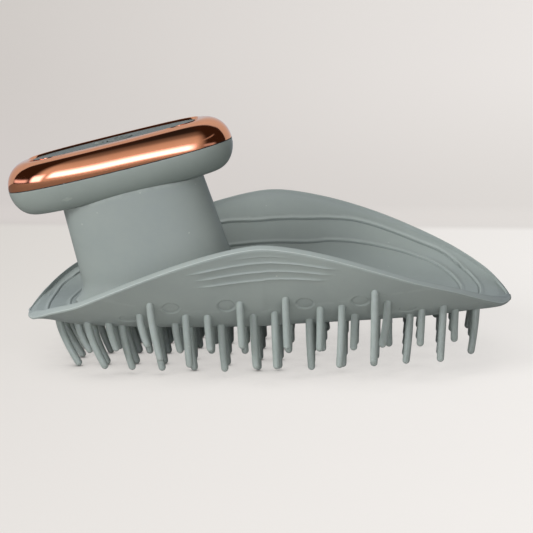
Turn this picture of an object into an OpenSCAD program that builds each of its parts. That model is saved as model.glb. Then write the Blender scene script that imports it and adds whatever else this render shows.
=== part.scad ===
// Electric scalp massager: a leaf shaped silicone brush pad with rows of round bristles under it,
// a leaning neck that holds the motor and the cell, and a long rounded grip head with a metal trim,
// an inset top panel and one push button. It stands on its bristles, with the left end low.

/* [Brush pad] */
// Length of the pad from tip to tip
pad_length = 130; // [115:1:150]
// Width of the pad across its two raised rims
pad_width = 85; // [76:1:96]
// Height of the two tips of the rim above the bristle ends
tip_height = 13.9; // [13:0.1:16]
// Rise of the rim from the tips to the middle of each side
rim_rise = 24.4; // [16:0.2:28]
// Height of the underside of the pad above the bristle ends
keel_height = 11.5; // [10:0.1:12]
// Thickness of the side walls and of the rim
wall = 2.4; // [2:0.1:3]
// Thickness of the pad's floor under the handle
floor_thickness = 5.2; // [4.6:0.1:6]
// Thickness of the pad at its two tips
tip_thickness = 1.2; // [1:0.1:2]
// Lean of the whole pad where it stands, in degrees
pad_tilt = 2.2; // [0:0.1:4]
// Place along the pad, from its middle, where the straight bristles just reach the table
touch_place = -1.8; // [-12:0.2:0]

/* [Bristles] */
// Diameter of a bristle
bristle_diameter = 2; // [1.6:0.1:2.4]
// Distance between two columns of bristles
bristle_pitch = 8.7; // [8:0.1:10]
// Distance from the middle of the pad to the first column of long bristles
long_start = 2.8; // [2:0.1:3.4]
// Distance from the middle of the pad to the first column of short bristles
short_start = 5.9; // [5.4:0.1:6.4]
// How much shorter the short bristles are
short_by = 4.6; // [2:0.1:6]
// Widest gap between two bristles of one column
bristle_gap = 14; // [12:0.5:18]

/* [Neck] */
// Place of the neck's foot along the pad, from the pad's middle
foot_place = -27.4; // [-32:0.2:-22]
// Width of the neck at its foot
foot_width = 42.8; // [40:0.2:46]
// Depth of the neck at its foot
foot_depth = 21.6; // [20.6:0.2:24]
// Width of the neck under the head
throat_width = 38.6; // [37:0.2:41]
// Depth of the neck under the head
throat_depth = 18.6; // [18:0.2:19.6]
// Reach of the flare where the neck meets the pad
flare = 3; // [1:0.1:4]
// Height of that flare
flare_height = 7; // [4:0.5:10]
// Thickness of the soft sleeve
sleeve = 1.5; // [1.2:0.1:1.6]
// Thickness of the rigid tube inside the sleeve
core = 1.5; // [1.2:0.1:1.6]
// Clearance between parts that are fitted into each other
fit = 0.15; // [0.1:0.05:0.2]

/* [Head] */
// Length of the head
head_length = 61.5; // [58:0.5:66]
// Depth of the head
head_depth = 22.6; // [22:0.2:26]
// Height of the metal trim above the parting line
trim_height = 7.1; // [6.8:0.1:8]
// Height of the lower shell below the parting line
shell_height = 7.4; // [7:0.1:8.4]
// Place of the head's middle along the part, from the pad's middle
head_place = -40.3; // [-44:0.1:-38]
// Height of the head's parting line, at its middle, above the table
head_height = 51.5; // [50:0.5:56]
// Tilt of the head in degrees, left end low
head_tilt = 14.3; // [11:0.1:17]
// Wall of the lower shell
shell_wall = 1.8; // [1.5:0.1:2]
// Wall of the metal trim
trim_wall = 1.2; // [1:0.1:1.4]
// Length of the top panel
panel_length = 45.4; // [43:0.2:47]
// Width of the top panel
panel_width = 12; // [11.6:0.1:12.6]
// Thickness of the top panel
panel_thickness = 1.4; // [1.2:0.1:1.6]
// How far the top panel lies below the crest of the trim
panel_recess = 0.35; // [0.2:0.05:0.6]

/* [Button and electronics] */
// Diameter of the push button
button_diameter = 7.2; // [6.6:0.1:7.4]
// Radial clearance of the push button in the panel
button_clearance = 0.1; // [0.05:0.01:0.1]
// How far the button stands above the panel
button_proud = 0.3; // [0.2:0.05:0.6]
// Travel of the push button
button_travel = 0.6; // [0.3:0.05:0.7]
// Place of the button along the head, from its middle
button_place = 1.8; // [-2:0.1:3]
// Length of the circuit board
board_length = 44; // [42:0.5:45]
// Width of the circuit board
board_width = 14; // [12:0.5:14.5]
// Diameter of the motor
motor_diameter = 12; // [10:0.1:12.2]
// Length of the motor
motor_length = 14; // [12:0.5:14.5]
// Diameter of the motor shaft
shaft_diameter = 1.5; // [1.2:0.1:2]
// Length of the eccentric weight
weight_length = 4; // [3:0.5:5]
// Radius of the eccentric weight
weight_radius = 5.6; // [4.6:0.1:5.8]
// Length of the battery cell
cell_length = 32; // [24:0.5:33]
// Width of the battery cell
cell_width = 13; // [10:0.5:13.5]
// Thickness of the battery cell
cell_thickness = 4.8; // [3.6:0.1:4.9]

/* [Charge port] */
// Outer diameter of the port's ring
port_diameter = 13; // [12:0.1:14]
// Diameter of the socket that the charging plug seats in
socket_diameter = 10; // [9.4:0.1:10.4]
// Depth of that socket
socket_depth = 1.2; // [1:0.1:1.4]
// Diameter of a contact pin
contact_diameter = 2; // [1.6:0.1:2.2]
// Distance between the two contact pins
contact_gap = 4.4; // [4:0.1:4.8]

/* [Hidden] */
$fn = 48;
little = 0.01;

sage = [0.52, 0.57, 0.55];
pale_sage = [0.58, 0.63, 0.61];
copper = [0.80, 0.50, 0.38];
steel = [0.72, 0.73, 0.75];
gold = [0.85, 0.70, 0.38];
board_green = [0.10, 0.35, 0.22];
black = [0.10, 0.10, 0.11];
cream = [0.84, 0.82, 0.77];
foil = [0.62, 0.64, 0.68];

function mix(a, b, t) = a + (b - a) * t;
function signed_pow(x, e) = sign(x) * pow(abs(x), e);

// A squarish oval of the given half length, half depth and squareness, at height z
oval_sides = 44;
function oval(half_x, half_y, square, z) = [for (i = [0 : oval_sides - 1]) let (t = 360 * i / oval_sides)
    [half_x * signed_pow(cos(t), 2 / square), half_y * signed_pow(sin(t), 2 / square), z]];

// Faces between ring j and the next one, for rings of m points each
function band(j, next, m) = [for (i = [0 : m - 1], half = [0, 1]) let (k = (i + 1) % m)
    half == 0 ? [j * m + i, next * m + i, next * m + k] : [j * m + i, next * m + k, j * m + k]];

// A ring shaped solid: the rings go once round its wall
module loop_of(rings) {
    n = len(rings);
    m = len(rings[0]);
    polyhedron([for (ring = rings, p = ring) p], [for (j = [0 : n - 1], f = band(j, (j + 1) % n, m)) f]);
}

// A closed solid: the rings go from one capped end to the other
module stack_of(rings) {
    n = len(rings);
    m = len(rings[0]);
    first = [for (i = [0 : m - 1]) i];
    last = [for (i = [m - 1 : -1 : 0]) (n - 1) * m + i];
    polyhedron([for (ring = rings, p = ring) p],
        concat([first], [for (j = [0 : n - 2], f = band(j, j + 1, m)) f], [last]));
}

// ---- Frames: the pad leans about the bristles that just touch, the head tilts about its middle ----

head_reach = norm([head_length / 2 * cos(head_tilt), shell_height * sin(head_tilt)]);
pad_reach = (pad_length / 2 - touch_place) * cos(pad_tilt) + touch_place - tip_height * sin(pad_tilt);
centring = (head_reach - head_place - pad_reach) / 2;

function from_pad(p) = [(p[0] - touch_place) * cos(pad_tilt) - p[2] * sin(pad_tilt) + touch_place + centring,
    p[1], (p[0] - touch_place) * sin(pad_tilt) + p[2] * cos(pad_tilt)];
function from_head(p) = [head_place + p[0] * cos(head_tilt) - p[2] * sin(head_tilt) + centring,
    p[1], head_height + p[0] * sin(head_tilt) + p[2] * cos(head_tilt)];
module in_pad() translate([touch_place + centring, 0, 0]) rotate([0, -pad_tilt, 0]) translate([-touch_place, 0, 0]) children();
module in_head() translate([head_place + centring, 0, head_height]) rotate([0, -head_tilt, 0]) children();

// ---- Brush pad ----

half_length = pad_length / 2;
half_width = pad_width / 2;
// The leaf is blunt at the left end and more pointed at the right one
left_fullness = 5;
left_bluntness = 0.5;
right_fullness = 4.0;
right_bluntness = 0.76;
rim_sag = 1.37;
rim_sharpness = 0.89;
rim_softness = 0.06;
// The underside is nearly flat in the middle and drawn up towards the tips
belly_squareness = 4.6;
left_squareness = 1.15;
right_squareness = 2.5;
left_keel_curve = 1.35;
right_keel_curve = 2.75;
left_belly_curve = 2;
right_belly_curve = 0.65;
bowl_squareness = 5;
floor_fade = 12;
narrowest = 1.4;
floor_height = keel_height + floor_thickness;
skin = 1.8;

function share(x) = min(1, abs(x) / half_length);
function leaf(x) = let (t = share(x)) max(narrowest, half_width * (x < 0
    ? pow(max(0, 1 - pow(t, left_fullness)), left_bluntness)
    : pow(max(0, 1 - pow(t, right_fullness)), right_bluntness)));
function soft_share(x) = norm([share(x), rim_softness]) / norm([1, rim_softness]);
function rim_z(x) = tip_height + rim_rise * pow(max(0, 1 - pow(soft_share(x), rim_sag)), rim_sharpness);
function keel_z(x) = mix(keel_height, tip_height - tip_thickness, pow(share(x), x < 0 ? left_keel_curve : right_keel_curve));
function squareness(x) = x < 0 ? mix(belly_squareness, left_squareness, pow(share(x), left_belly_curve))
    : mix(belly_squareness, right_squareness, pow(share(x), right_belly_curve));
function rim_radius(x) = min(wall / 2, leaf(x) / 3, (rim_z(x) - keel_z(x)) / 3);
function side_top(x) = rim_z(x) - rim_radius(x);
function floor_z(x) = min(side_top(x) - 0.05, mix(floor_height, keel_z(x) + tip_thickness, pow(share(x), floor_fade)));
// Underside of the pad above a point of its plan
function belly_z(x, y) = mix(keel_z(x), side_top(x), pow(min(1, abs(y) / leaf(x)), squareness(x)));
// Bowl of the pad, s is the share of the way from the middle to the inside of the rim
function bowl_z(x, s) = let (y = s * (leaf(x) - 2 * rim_radius(x)), deep = min(skin, 0.6 * (side_top(x) - keel_z(x))))
    max(mix(floor_z(x), side_top(x), pow(abs(s), bowl_squareness)), belly_z(x, y) + deep * sqrt(1 - pow(s, 4)));

// One cross section: the underside from the near rim to the far one, the round rim, then the bowl back
belly_steps = 11;
bowl_steps = 9;
function across(i, n) = let (q = i / n) sign(q) * (1 - pow(1 - abs(q), 1.6));
function pad_section(x) = let (w = leaf(x), r = rim_radius(x), high = side_top(x))
    concat(
        [for (i = [-belly_steps : belly_steps]) let (s = across(i, belly_steps)) [x, w * s, belly_z(x, w * s)]],
        [for (a = [45, 90, 135]) [x, w - r + r * cos(a), high + r * sin(a)]],
        [for (i = [bowl_steps : -1 : -bowl_steps]) let (s = across(i, bowl_steps)) [x, (w - 2 * r) * s, bowl_z(x, s)]],
        [for (a = [45, 90, 135]) [x, r - w + r * cos(a), high + r * sin(a)]]);

// The two tips end in a small oval with the same number of points
function pad_end(x) = let (n = len(pad_section(x)), m = 2 * belly_steps, middle = (keel_z(x) + rim_z(x)) / 2)
    [for (i = [0 : n - 1]) let (a = i <= m ? 180 + 180 * i / m : 180 * (i - m) / (n - m))
        [x, leaf(x) * cos(a), middle + (rim_z(x) - keel_z(x)) / 2 * sin(a)]];

pad_sections = 46;
module brush_pad() color(sage) stack_of([for (j = [0 : pad_sections]) let (x = -half_length * cos(180 * j / pad_sections))
    [for (p = j % pad_sections == 0 ? pad_end(x) : pad_section(x)) from_pad(p)]]);

// ---- Bristles ----

bristle_radius = bristle_diameter / 2;
// Half spread of each column of bristles, from the middle of the pad outwards
long_spread = half_width * [0.729, 0.612, 0.753, 0.859, 0.565, 0.624, 0.353];
short_spread = half_width * [0.816, 0.741, 0.647, 0.776, 0.635, 0.494];
// Outside this half width the bristle ends rise with the pad's side
end_plane_half = 14;
end_rise = 0.0115;
end_skew = 0.5;
// Away from the middle the bristle ends curve up like a rocker
rocker_from = 15;
left_rocker = 0.04;
right_rocker = 0.05;
root_depth = 0.5;
function end_z(x, y) = end_rise * (1 - end_skew * x / half_length) * pow(max(0, abs(y) - end_plane_half), 2)
    + (x < 0 ? left_rocker : right_rocker) * max(0, abs(x) - rocker_from);

// Sideways lean of a bristle, as slope: fanned outwards, and bent inwards under the handle's weight
fan = 0.0025;
mid_lean = 0.05;
bend = 0.4;
bend_from = 20;
function lean(x) = mid_lean - fan * x + bend * pow(max(0, -x - bend_from) / (half_length - bend_from), 1.5);

// Where a column's bristles stand across the pad
function places(spread) = let (n = max(2, ceil(2 * spread / bristle_gap) + 1))
    [for (i = [0 : n - 1]) -spread + 2 * spread * i / (n - 1)];

module bristle(x, y, shorter) {
    steepness = (belly_z(x, abs(y) + bristle_radius / 2) - belly_z(x, abs(y) - bristle_radius / 2)) / bristle_radius;
    root = from_pad([x, y, belly_z(x, y) + root_depth * norm([1, steepness])]);
    free_end = from_pad([x, y, end_z(x, y) + shorter]);
    drop_z = max(0, free_end[2]) + bristle_radius;
    way = [lean(x) * (root[2] - drop_z), 0, drop_z - root[2]];
    translate(root) rotate([0, 180 - atan(way[0] / -way[2]), 0]) rotate_extrude($fn = 24) intersection() {
        union() {
            circle(bristle_radius);
            translate([0, norm(way)]) circle(bristle_radius);
            translate([-bristle_radius, 0]) square([bristle_diameter, norm(way)]);
        }
        translate([0, -bristle_diameter]) square([bristle_diameter, norm(way) + 2 * bristle_diameter]);
    }
}

module bristle_columns(start, spreads, side, shorter)
    for (k = [0 : len(spreads) - 1]) let (x = side * (start + k * bristle_pitch))
        if (leaf(x) > spreads[k] + bristle_radius)
            for (y = places(spreads[k])) bristle(x, y, shorter);

module bristles_long_left() color(pale_sage) bristle_columns(long_start, long_spread, -1, 0);
module bristles_long_right() color(pale_sage) bristle_columns(long_start, long_spread, 1, 0);
module bristles_short_left() color(pale_sage) bristle_columns(short_start, short_spread, -1, short_by);
module bristles_short_right() color(pale_sage) bristle_columns(short_start, short_spread, 1, short_by);

// ---- Head: rings of one rounded bar, set in by i for inner faces ----

head_half = head_length / 2;
head_side = head_depth / 2;
head_squareness = 2.35;
edge_roundness = 2;
crest_end_set = 6.55;
crest_side_set = 3.8;
base_end_set = 6.15;
base_side_set = 4.3;
crest_half = head_half - crest_end_set;
crest_side = head_side - crest_side_set;
base_half = head_half - base_end_set;
base_side = head_side - base_side_set;
panel_squareness = 3;
gasket_height = 0.25;
gasket_width = 1;
gasket_inset = 0.15;

// k runs from 0 at the parting line to 1 at the crest or at the underside
function bulge(k) = pow(max(0, 1 - pow(k, edge_roundness)), 1 / edge_roundness);
function top_ring(k, i) = oval(mix(crest_half, head_half, bulge(k)) - i, mix(crest_side, head_side, bulge(k)) - i,
    head_squareness, mix(gasket_height, trim_height - i, k));
function low_ring(k, i) = oval(mix(base_half, head_half, bulge(k)) - i, mix(base_side, head_side, bulge(k)) - i,
    head_squareness, -(shell_height - i) * k);
// How far down, from 0 to 1, the lower shell's surface lies under a point of the head's plan
function inside_at(u, y, k) = pow(abs(u) / mix(base_half, head_half, bulge(k)), head_squareness)
    + pow(abs(y) / mix(base_side, head_side, bulge(k)), head_squareness) <= 1;
function depth_at(u, y, low = 0, high = 1, turns = 16) = turns == 0 ? low
    : let (k = (low + high) / 2) inside_at(u, y, k) ? depth_at(u, y, k, high, turns - 1) : depth_at(u, y, low, k, turns - 1);

// Levels inside the head, above its parting line
panel_top = trim_height - panel_recess;
panel_base = panel_top - panel_thickness;
ledge = 1.1;
ledge_thickness = 0.7;
tongue_height = 1.1;
tongue = 0.9;
tongue_set = trim_wall + fit;
hole_half = 15;
hole_side = 6;
shell_floor = -(shell_height - shell_wall);

level_steps = 8;
module copper_trim() color(copper) in_head() loop_of(concat(
    [for (j = [0 : level_steps]) top_ring(sin(90 * j / level_steps), 0)],
    [oval(panel_length / 2 + fit + 0.3, panel_width / 2 + fit + 0.3, panel_squareness, trim_height),
     oval(panel_length / 2 + fit, panel_width / 2 + fit, panel_squareness, trim_height - 0.25),
     oval(panel_length / 2 + fit, panel_width / 2 + fit, panel_squareness, panel_base - 0.05),
     oval(panel_length / 2 - ledge, panel_width / 2 - ledge, panel_squareness, panel_base - 0.05),
     oval(panel_length / 2 - ledge, panel_width / 2 - ledge, panel_squareness, panel_base - 0.05 - ledge_thickness)],
    [for (j = [level_steps - 2 : -1 : 0]) let (r = top_ring(sin(90 * j / level_steps), trim_wall))
        [for (p = r) [p[0], p[1], min(p[2], panel_base - 0.05 - ledge_thickness)]]]));

module shell_gasket() color(black) in_head() loop_of([for (p = [[0, 0], [0, gasket_height], [gasket_width, gasket_height], [gasket_width, 0]])
    oval(head_half - gasket_inset - p[0], head_side - gasket_inset - p[0], head_squareness, p[1])]);

post_set = 2.5;
post_places = [post_set - board_length / 2, board_length / 2 - post_set];
post_diameter = 4;
board_thickness = 1;
board_z = 1.4;
screw_diameter = 1.6;
screw_head = 3;
screw_length = 5;
module head_shell() color(sage) in_head() {
    loop_of(concat(
        [oval(hole_half, hole_side, head_squareness, -shell_height)],
        [for (j = [level_steps : -1 : 0]) low_ring(sin(90 * j / level_steps), 0)],
        [oval(head_half - tongue_set, head_side - tongue_set, head_squareness, 0),
         oval(head_half - tongue_set, head_side - tongue_set, head_squareness, tongue_height),
         oval(head_half - tongue_set - tongue, head_side - tongue_set - tongue, head_squareness, tongue_height)],
        [for (j = [0 : level_steps]) let (r = low_ring(sin(90 * j / level_steps), shell_wall))
            j == 0 ? oval(head_half - tongue_set - tongue, head_side - tongue_set - tongue, head_squareness, 0) : r],
        [oval(hole_half, hole_side, head_squareness, shell_floor)]));
    for (u = post_places) difference() {
        translate([u, 0, shell_floor - 0.4]) cylinder(d = post_diameter, h = board_z - shell_floor + 0.4);
        translate([u, 0, board_z - screw_length]) cylinder(d = screw_diameter, h = screw_length + 1);
    }
}

module board_screws() color(steel) in_head() for (u = post_places) {
    translate([u, 0, board_z + board_thickness - screw_length]) cylinder(d = screw_diameter, h = screw_length);
    translate([u, 0, board_z + board_thickness]) cylinder(d = screw_head, h = 0.9);
}

module circuit_board() color(board_green) in_head() translate([0, 0, board_z]) linear_extrude(board_thickness) difference() {
    hull() for (s = [-1, 1], t = [-1, 1])
        translate([s * (board_length / 2 - 2), t * (board_width / 2 - 2)]) circle(2, $fn = 32);
    for (u = post_places) translate([u, 0]) circle(d = screw_diameter + 2 * fit);
}

chip_sizes = [[-9, 2.6, 5, 4, 1], [-14.5, -3, 3, 1.8, 0.8], [11, -2.4, 6, 4, 1.1], [15.4, 3.6, 2.6, 1.6, 0.6]];
module board_chips() color(black) in_head() for (c = chip_sizes)
    translate([c[0] - c[2] / 2, c[1] - c[3] / 2, board_z + board_thickness]) cube([c[2], c[3], c[4]]);

module top_panel() color(sage) in_head() difference() {
    translate([0, 0, panel_base]) linear_extrude(panel_thickness)
        polygon([for (p = oval(panel_length / 2, panel_width / 2, panel_squareness, 0)) [p[0], p[1]]]);
    translate([button_place, 0, panel_base - 1]) cylinder(d = button_diameter + 2 * button_clearance, h = 4);
}

// ---- Push button: cap, gasket, plunger and switch, one above the other ----

flange_diameter = button_diameter + 1.6;
flange_thickness = 0.6;
gasket_thickness = 0.3;
flange_top = panel_base - gasket_thickness - 0.05;
flange_base = flange_top - flange_thickness;
rib_radius = 2.3;
rib = 0.35;
switch_side = 5;
switch_z = board_z + board_thickness;
switch_height = 1.2;
plunger_diameter = 2;
plunger_clearance = 0.1;

module button_cap() color(pale_sage) in_head() translate([button_place, 0, 0]) {
    translate([0, 0, flange_base]) cylinder(d = flange_diameter, h = flange_thickness);
    translate([0, 0, flange_base]) cylinder(d = button_diameter, h = panel_top + button_proud - flange_base);
    translate([0, 0, panel_top + button_proud - little]) rotate_extrude() difference() {
        translate([rib_radius, 0]) circle(rib, $fn = 24);
        translate([0, -rib]) square([button_diameter, rib]);
    }
}

module button_gasket() color(black) in_head() translate([button_place, 0, panel_base - gasket_thickness]) difference() {
    cylinder(d = flange_diameter, h = gasket_thickness);
    translate([0, 0, -1]) cylinder(d = button_diameter + 2 * button_clearance, h = 3);
}

module switch_plunger() color(cream) in_head() translate([button_place, 0, switch_z + 0.2 + button_travel])
    cylinder(d = plunger_diameter, h = flange_base - switch_z - 0.2 - button_travel);

module switch_body() color(black) in_head() translate([button_place, 0, switch_z]) difference() {
    translate([-switch_side / 2, -switch_side / 2, 0]) cube([switch_side, switch_side, switch_height]);
    translate([0, 0, 0.1]) cylinder(d = plunger_diameter + 2 * plunger_clearance, h = 3);
}

// ---- Neck: each ring lies between the foot on the pad's floor and the throat under the head ----

neck_squareness = 2.3;
plate_z = floor_height + 0.05;
throat_place = 1.5;
throat_gap = 0.1;

function foot_ring(i, more = 0) = [for (p = oval(foot_width / 2 - i - more, foot_depth / 2 - i, neck_squareness, plate_z + throat_gap))
    from_pad([p[0] + foot_place, p[1], p[2]])];
function throat_ring(i, level, more = 0) = [for (p = oval(throat_width / 2 - i - more, throat_depth / 2 - i, neck_squareness, 0))
    from_head([p[0] + throat_place, p[1], level(p)])];
function under_head(p) = -shell_height * depth_at(p[0] + throat_place, p[1]) - throat_gap;
function flat_throat(p) = -shell_height - throat_gap;
neck_height = from_head([throat_place, 0, -shell_height])[2] - from_pad([foot_place, 0, plate_z])[2];

// t runs from 0 at the foot to 1 at the throat, out is the flare's share of it
function flared(t) = let (q = max(0, 1 - t * neck_height / flare_height)) flare * pow(q, 2.4);
function neck_ring(t, i, level) = let (
        low = foot_ring(i - flared(t)), high = throat_ring(i, level))
    [for (j = [0 : oval_sides - 1]) mix(low[j], high[j], t)];

neck_steps = [0, 0.03, 0.06, 0.1, 0.15, 0.22, 0.32, 0.55, 0.78, 1];
function steps_up(i, level) = [for (t = neck_steps) neck_ring(t, i, level)];
function reversed(list) = [for (j = [len(list) - 1 : -1 : 0]) list[j]];

// Centre and size of the charge port, on the far side of the neck
port_share = 0.65;
port_centre = mix(from_pad([foot_place, 0, plate_z]), from_head([throat_place, 0, -shell_height]), port_share);
port_proud = 0.3;
port_depth = 3.2;
port_face = mix(foot_depth, throat_depth, port_share) / 2 + port_proud;
port_back = port_face - port_depth;
module at_port(y) translate([port_centre[0], y, port_centre[2]]) rotate([-90, 0, 0]) children();

module neck_sleeve() color(sage) difference() {
    loop_of(concat(
        steps_up(0, function(p) under_head(p)),
        reversed([for (t = neck_steps) let (r = neck_ring(max(t, 0), sleeve + flared(t), function(p) under_head(p))) r])));
    at_port(port_back - 2) cylinder(d = port_diameter + 2 * fit, h = 8);
}

core_set = sleeve + fit;
collar_half = hole_half - fit;
collar_side = hole_side - fit;
collar_top = shell_floor + 1;
plate_thickness = 2;
plate_top = plate_z + plate_thickness;
function core_level(p) = -shell_height - throat_gap - 1;
function collar_ring(i, z) = [for (p = oval(collar_half - i, collar_side - i, head_squareness, z)) from_head(p)];
function core_ring(t, i) = neck_ring(t, i + flared(t), function(p) core_level(p));
// A ring of the neck's wall that is level with the pad at the given height
function pad_height(p) = p[2] * cos(pad_tilt) - (p[0] - touch_place - centring) * sin(pad_tilt);
function level_ring(height, i, more = 0) = let (low = foot_ring(i, more), high = throat_ring(i, function(p) core_level(p), more))
    [for (j = [0 : oval_sides - 1]) let (a = pad_height(low[j])) mix(low[j], high[j], (height - a) / (pad_height(high[j]) - a))];

left_screw_set = 4.8;
right_screw_set = 7;
screw_places = [left_screw_set - foot_width / 2, foot_width / 2 - right_screw_set];
flange_reach = 5;
flange_height = 3;
neck_screw_diameter = 2;
neck_screw_head = 3.6;
neck_screw_head_height = 1;
module neck_core() color(cream) difference() {
    loop_of(concat(
        [level_ring(plate_top, core_set)],
        [for (t = [0.4, 0.7, 1]) core_ring(t, core_set)],
        [collar_ring(0, -shell_height - throat_gap - 1), collar_ring(0, collar_top),
         collar_ring(core, collar_top), collar_ring(core, -shell_height - throat_gap - 1 - core)],
        [for (t = [0.94, 0.7, 0.4]) core_ring(t, core_set + core)],
        [level_ring(plate_top + flange_height, core_set + core),
         level_ring(plate_top + flange_height, core_set + core, flange_reach),
         level_ring(plate_top, core_set + core, flange_reach)]));
    at_port(port_back - 2) cylinder(d = port_diameter, h = 8);
    in_pad() for (p = screw_places) translate([foot_place + p, 0, plate_top - 1]) cylinder(d = neck_screw_diameter, h = flange_height + 2);
}

plate_set = core_set + 0.7;
module base_plate() color(cream) in_pad() difference() {
    translate([foot_place, 0, plate_z]) linear_extrude(plate_thickness)
        polygon([for (p = oval(foot_width / 2 - plate_set, foot_depth / 2 - plate_set, neck_squareness, 0)) [p[0], p[1]]]);
    for (p = screw_places) translate([foot_place + p, 0, plate_z - 1]) {
        cylinder(d = neck_screw_diameter + 2 * fit, h = plate_thickness + 2);
        cylinder(d = neck_screw_head + 2 * fit, h = neck_screw_head_height + 1);
    }
}

module neck_screws() color(steel) in_pad() for (p = screw_places) translate([foot_place + p, 0, plate_z]) {
    cylinder(d = neck_screw_head, h = neck_screw_head_height);
    cylinder(d = neck_screw_diameter, h = plate_thickness + flange_height - 0.3);
}

// ---- Vibration motor and its eccentric weight, lying along the pad in the neck's foot ----

motor_radius = motor_diameter / 2;
motor_lift = 0.6;
motor_z = plate_top + motor_radius + motor_lift;
motor_x = foot_place - 11;
motor_nose = 0.6;
nose_diameter = 4;
bearing_depth = 6;
running_clearance = 0.05;
weight_x = motor_x + motor_length + 1;
module along_pad(x) in_pad() translate([x, 0, motor_z]) rotate([0, 90, 0]) children();

module motor_can() color(steel) along_pad(motor_x) difference() {
    union() {
        cylinder(d = motor_diameter, h = motor_length);
        cylinder(d = nose_diameter, h = motor_length + motor_nose);
    }
    translate([0, 0, motor_length - bearing_depth]) cylinder(d = shaft_diameter + 2 * running_clearance, h = 2 * bearing_depth);
}

module motor_shaft() color(steel) along_pad(motor_x + motor_length - bearing_depth + 1)
    cylinder(d = shaft_diameter, h = bearing_depth + weight_length + 0.5);

hub = 1.2;
module eccentric_weight() color(gold) along_pad(weight_x) difference() {
    union() {
        intersection() {
            cylinder(r = weight_radius, h = weight_length);
            translate([0, -weight_radius, 0]) cube([weight_radius, 2 * weight_radius, weight_length]);
        }
        cylinder(r = shaft_diameter / 2 + hub, h = weight_length);
    }
    translate([0, 0, -1]) cylinder(d = shaft_diameter, h = weight_length + 2);
}

cradle_length = 8;
cradle_side = 6.3;
module motor_cradle() color(black) in_pad() difference() {
    translate([motor_x + 3, -cradle_side, plate_top]) cube([cradle_length, 2 * cradle_side, motor_z - plate_top - motor_radius / 2]);
    translate([motor_x, 0, motor_z]) rotate([0, 90, 0]) cylinder(d = motor_diameter, h = motor_length);
}

// ---- Battery cell, flat in the head on its tray ----

tray_thickness = 0.6;
tray_margin = 0.5;
cell_z = collar_top + tray_thickness;
module battery_cell() color(foil) in_head() translate([throat_place - 1, 0, cell_z]) rotate([90, 0, 90])
    translate([0, 0, -cell_length / 2]) linear_extrude(cell_length) {
        translate([0, cell_thickness / 2]) square([cell_width - cell_thickness / 2, cell_thickness], center = true);
        translate([0, cell_thickness / 2]) square([cell_width, cell_thickness / 2], center = true);
        for (s = [-1, 1], t = [1, 3]) translate([s * (cell_width / 2 - cell_thickness / 4), t * cell_thickness / 4]) circle(cell_thickness / 4, $fn = 32);
    }

module cell_tray() color(cream) in_head() translate([throat_place - 1, 0, collar_top]) linear_extrude(tray_thickness)
    square([cell_length + tray_margin, cell_width - 1], center = true);

// ---- Charge port ----

module charge_port() color(black) difference() {
    at_port(port_back) cylinder(d = port_diameter, h = port_face - port_back);
    at_port(port_face - socket_depth) cylinder(d = socket_diameter, h = socket_depth + 1);
    for (s = [-1, 1]) translate([s * contact_gap / 2, 0, 0]) at_port(port_back - 1) cylinder(d = contact_diameter, h = 6);
    for (s = [-1, 1]) translate([0, 0, s * magnet_set]) at_port(port_back - little) cylinder(d = magnet_diameter, h = magnet_thickness + little);
}

contact_proud = 0.1;
magnet_diameter = 2.4;
magnet_thickness = 1.2;
magnet_set = 3;
module charge_contacts() color(gold) for (s = [-1, 1]) translate([s * contact_gap / 2, 0, 0])
    at_port(port_back) cylinder(d = contact_diameter, h = port_face - socket_depth + contact_proud - port_back);

module charge_magnets() color(steel) for (s = [-1, 1]) translate([0, 0, s * magnet_set])
    at_port(port_back) cylinder(d = magnet_diameter, h = magnet_thickness);

brush_pad();
bristles_long_left();
bristles_long_right();
bristles_short_left();
bristles_short_right();
base_plate();
neck_sleeve();
neck_core();
neck_screws();
motor_cradle();
motor_can();
motor_shaft();
eccentric_weight();
battery_cell();
cell_tray();
head_shell();
shell_gasket();
copper_trim();
top_panel();
button_cap();
button_gasket();
switch_plunger();
switch_body();
circuit_board();
board_chips();
board_screws();
charge_port();
charge_contacts();
charge_magnets();
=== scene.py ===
import math

import bpy
import numpy as np
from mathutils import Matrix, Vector


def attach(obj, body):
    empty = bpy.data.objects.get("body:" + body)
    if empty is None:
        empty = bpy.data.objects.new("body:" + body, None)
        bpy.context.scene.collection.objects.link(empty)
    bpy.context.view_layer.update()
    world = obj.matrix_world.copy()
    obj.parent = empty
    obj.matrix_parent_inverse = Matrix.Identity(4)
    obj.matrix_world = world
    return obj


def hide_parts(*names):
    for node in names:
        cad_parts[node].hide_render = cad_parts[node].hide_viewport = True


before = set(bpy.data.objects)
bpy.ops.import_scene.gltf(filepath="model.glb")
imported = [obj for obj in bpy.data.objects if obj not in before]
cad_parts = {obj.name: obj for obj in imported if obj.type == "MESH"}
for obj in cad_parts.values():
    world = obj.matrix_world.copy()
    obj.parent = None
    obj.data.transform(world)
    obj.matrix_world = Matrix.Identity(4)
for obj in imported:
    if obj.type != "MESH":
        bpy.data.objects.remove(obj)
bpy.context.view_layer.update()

# Sizes are in millimetres, in the pad's or the head's own frame, and become metres in the meshes.
MM = 0.001

# ------------------------ sizes shared with the solids

HALF_LENGTH = 65.0
HALF_WIDTH = 42.5
TIP_HEIGHT = 13.9
RIM_RISE = 24.4
KEEL_HEIGHT = 11.5
WALL = 2.4
FLOOR_THICKNESS = 5.2
TIP_THICKNESS = 1.2
PAD_TILT = math.radians(2.2)
TOUCH_PLACE = -1.8
SKIN = 1.8
NARROWEST = 2.2

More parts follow.
